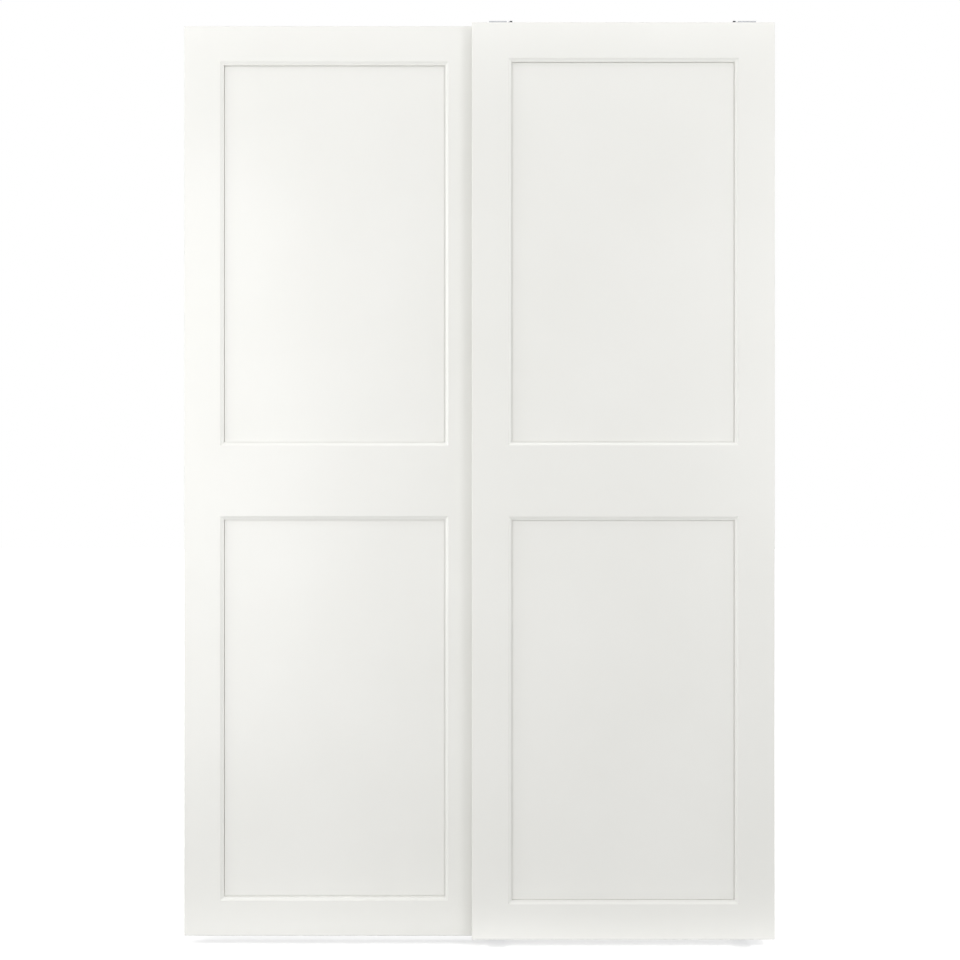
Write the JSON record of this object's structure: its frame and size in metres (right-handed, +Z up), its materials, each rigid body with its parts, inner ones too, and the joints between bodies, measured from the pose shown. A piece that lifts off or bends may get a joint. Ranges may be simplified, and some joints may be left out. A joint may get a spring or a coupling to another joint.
{
  "type": "double sliding door",
  "caption": "White panelled sliding wardrobe doors hung by wheels from a shared top track, with hidden hangers, end stops and a grooved bottom guide rail.",
  "frame": {"origin": "middle of the top track's row of screw holes, on the track's back face", "axes": "+X along the track to the right as seen from the room, +Y into the carcass, +Z up"},
  "size_m": [1.5, 0.0856, 2.3396],
  "materials": {
    "white_frame": "wood frame wrapped in smooth white foil, satin",
    "white_panel": "thin board wrapped in smooth white foil, satin",
    "aluminium": "extruded and anodised, fine lines along its length",
    "zinc_steel": "pressed steel sheet, bright zinc plating",
    "black_steel": "blackened steel",
    "nylon": "moulded natural nylon",
    "black_plastic": "moulded black plastic",
    "grey_plastic": "moulded grey plastic",
    "rubber": "soft black rubber"
  },
  "bodies": {
    "rails": {"top_track": "aluminium", "bottom_guide_rail": "aluminium", "track_end_stop_left": "grey_plastic", "track_end_stop_right": "grey_plastic", "guide_rail_end_cap_left": "grey_plastic", "guide_rail_end_cap_right": "grey_plastic", "stop_buffers": "rubber"},
    "rear_carriage": {"rear_wheel_carrier_outer": "zinc_steel", "rear_wheel_carrier_inner": "zinc_steel"},
    "rear_door": {"rear_stile_outer": "white_frame", "rear_stile_inner": "white_frame", "rear_rail_top": "white_frame", "rear_rail_middle": "white_frame", "rear_rail_bottom": "white_frame", "rear_panel_upper": "white_panel", "rear_panel_lower": "white_panel", "rear_hanger_outer": "zinc_steel", "rear_guide_bracket_outer": "zinc_steel", "rear_guide_shoe_outer": "black_plastic", "rear_hanger_inner": "zinc_steel", "rear_guide_bracket_inner": "zinc_steel", "rear_guide_shoe_inner": "black_plastic"},
    "rear_wheel_outer_body": {"rear_wheel_outer": "nylon"},
    "rear_height_screw_outer_body": {"rear_height_screw_outer": "black_steel"},
    "rear_wheel_inner_body": {"rear_wheel_inner": "nylon"},
    "rear_height_screw_inner_body": {"rear_height_screw_inner": "black_steel"},
    "front_carriage": {"front_wheel_carrier_outer": "zinc_steel", "front_wheel_carrier_inner": "zinc_steel"},
    "front_door": {"front_stile_outer": "white_frame", "front_stile_inner": "white_frame", "front_rail_top": "white_frame", "front_rail_middle": "white_frame", "front_rail_bottom": "white_frame", "front_panel_upper": "white_panel", "front_panel_lower": "white_panel", "front_hanger_outer": "zinc_steel", "front_guide_bracket_outer": "zinc_steel", "front_guide_shoe_outer": "black_plastic", "front_hanger_inner": "zinc_steel", "front_guide_bracket_inner": "zinc_steel", "front_guide_shoe_inner": "black_plastic", "front_hanger_clips": "black_plastic"},
    "front_wheel_outer_body": {"front_wheel_outer": "nylon"},
    "front_height_screw_outer_body": {"front_height_screw_outer": "black_steel"},
    "front_wheel_inner_body": {"front_wheel_inner": "nylon"},
    "front_height_screw_inner_body": {"front_height_screw_inner": "black_steel"}
  },
  "joints": [
    {"name": "rear_door_slide", "type": "slide", "parent": "rails", "child": "rear_carriage", "axis": [1, 0, 0], "range_m": [0, 0.734]},
    {"name": "rear_door_height", "type": "slide", "parent": "rear_carriage", "child": "rear_door", "axis": [0, 0, 1], "range_m": [-0.002, 0.002]},
    {"name": "rear_wheel_outer_spin", "type": "hinge", "parent": "rear_carriage", "child": "rear_wheel_outer_body", "pos_m": [-0.6775, -0.0265, 0.002], "axis": [0, 1, 0], "continuous": true},
    {"name": "rear_height_screw_outer_turn", "type": "hinge", "parent": "rear_carriage", "child": "rear_height_screw_outer_body", "pos_m": [-0.6593, -0.0265, 0.002], "axis": [0, 0, 1], "range_deg": [-910, 910]},
    {"name": "rear_wheel_inner_spin", "type": "hinge", "parent": "rear_carriage", "child": "rear_wheel_inner_body", "pos_m": [-0.0565, -0.0265, 0.002], "axis": [0, 1, 0], "continuous": true},
    {"name": "rear_height_screw_inner_turn", "type": "hinge", "parent": "rear_carriage", "child": "rear_height_screw_inner_body", "pos_m": [-0.0747, -0.0265, 0.002], "axis": [0, 0, 1], "range_deg": [-910, 910]},
    {"name": "front_door_slide", "type": "slide", "parent": "rails", "child": "front_carriage", "axis": [-1, 0, 0], "range_m": [0, 0.734]},
    {"name": "front_door_height", "type": "slide", "parent": "front_carriage", "child": "front_door", "axis": [0, 0, 1], "range_m": [-0.002, 0.002]},
    {"name": "front_wheel_outer_spin", "type": "hinge", "parent": "front_carriage", "child": "front_wheel_outer_body", "pos_m": [0.6775, -0.0094, 0.002], "axis": [0, 1, 0], "continuous": true},
    {"name": "front_height_screw_outer_turn", "type": "hinge", "parent": "front_carriage", "child": "front_height_screw_outer_body", "pos_m": [0.6593, -0.0094, 0.002], "axis": [0, 0, 1], "range_deg": [-910, 910]},
    {"name": "front_wheel_inner_spin", "type": "hinge", "parent": "front_carriage", "child": "front_wheel_inner_body", "pos_m": [0.0565, -0.0094, 0.002], "axis": [0, 1, 0], "continuous": true},
    {"name": "front_height_screw_inner_turn", "type": "hinge", "parent": "front_carriage", "child": "front_height_screw_inner_body", "pos_m": [0.0747, -0.0094, 0.002], "axis": [0, 0, 1], "range_deg": [-910, 910]}
  ],
  "couplings": [
    {"joint": "rear_wheel_outer_spin", "follows": "rear_door_slide", "rad_per_m": 103.09},
    {"joint": "rear_height_screw_outer_turn", "follows": "rear_door_height", "rad_per_m": 7854},
    {"joint": "rear_wheel_inner_spin", "follows": "rear_door_slide", "rad_per_m": 103.09},
    {"joint": "rear_height_screw_inner_turn", "follows": "rear_door_height", "rad_per_m": 7854},
    {"joint": "front_wheel_outer_spin", "follows": "front_door_slide", "rad_per_m": -103.09},
    {"joint": "front_height_screw_outer_turn", "follows": "front_door_height", "rad_per_m": 7854},
    {"joint": "front_wheel_inner_spin", "follows": "front_door_slide", "rad_per_m": -103.09},
    {"joint": "front_height_screw_inner_turn", "follows": "front_door_height", "rad_per_m": 7854}
  ]
}
